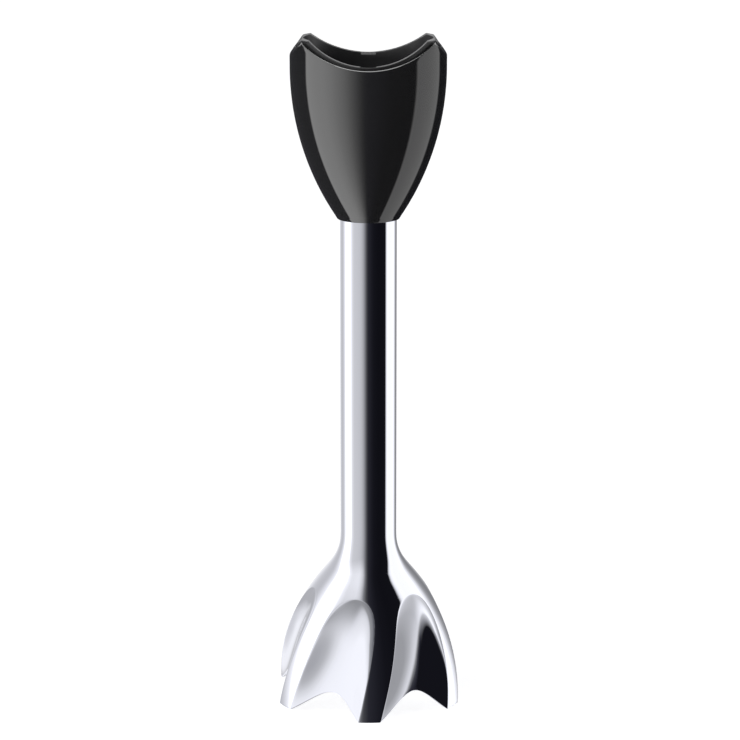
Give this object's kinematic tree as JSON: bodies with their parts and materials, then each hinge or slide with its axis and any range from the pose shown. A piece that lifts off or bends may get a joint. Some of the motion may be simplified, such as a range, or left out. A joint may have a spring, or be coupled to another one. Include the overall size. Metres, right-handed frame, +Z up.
{
  "type": "immersion blender blending shaft",
  "caption": "Detachable blending shaft: polished steel tube flaring into a fluted bell over a blade, with a glossy click-on coupling and a sprung drive dog.",
  "frame": {"origin": "on the spin axis of the blade, in the plane of the bell's feet", "axes": "+Z up along the spin axis from the bell to the coupling, +X towards one ear of the coupling, -Y towards the viewer's side"},
  "size_m": [0.0642, 0.0696, 0.2367],
  "materials": {
    "polished_steel": "mirror-polished stainless steel",
    "blade_steel": "polished stainless steel with ground edges",
    "plain_steel": "turned or pressed steel",
    "gloss_black": "high gloss",
    "satin_black": "satin",
    "grey_plastic": "satin",
    "white_plastic": "satin",
    "bronze": "sintered bronze",
    "rubber": "matt"
  },
  "bodies": {
    "housing": {"coupling_shell": "gloss_black", "socket_liner": "satin_black", "tube_and_bell": "polished_steel", "tube_flange": "plain_steel", "flange_screw_1": "plain_steel", "flange_screw_2": "plain_steel", "flange_screw_3": "plain_steel", "coupling_seal": "rubber", "upper_bearing_carrier": "white_plastic", "upper_bush": "bronze", "inner_sleeve": "white_plastic", "bell_hub": "grey_plastic", "hub_seal_ring": "rubber", "lower_bush": "bronze", "shaft_seal": "rubber", "seal_retainer": "plain_steel"},
    "drive_line": {"drive_shaft": "plain_steel", "blade": "blade_steel", "blade_collar": "plain_steel", "blade_nut": "plain_steel", "lower_thrust_washer": "white_plastic", "upper_thrust_washer": "white_plastic", "retaining_clip": "plain_steel", "spring_seat": "plain_steel", "dog_pin": "plain_steel", "dog_spring": "plain_steel"},
    "dog": {"drive_dog": "grey_plastic"}
  },
  "joints": [
    {"name": "blade_spin", "type": "hinge", "parent": "housing", "child": "drive_line", "pos_m": [0, 0, 0.012], "axis": [0, 0, 1], "continuous": true},
    {"name": "dog_plunge", "type": "slide", "parent": "drive_line", "child": "dog", "axis": [0, 0, 1], "range_m": [-0.0025, 0], "stiffness_N_per_m": 300, "springref_m": 0.003, "deforming": ["dog_spring"]}
  ]
}
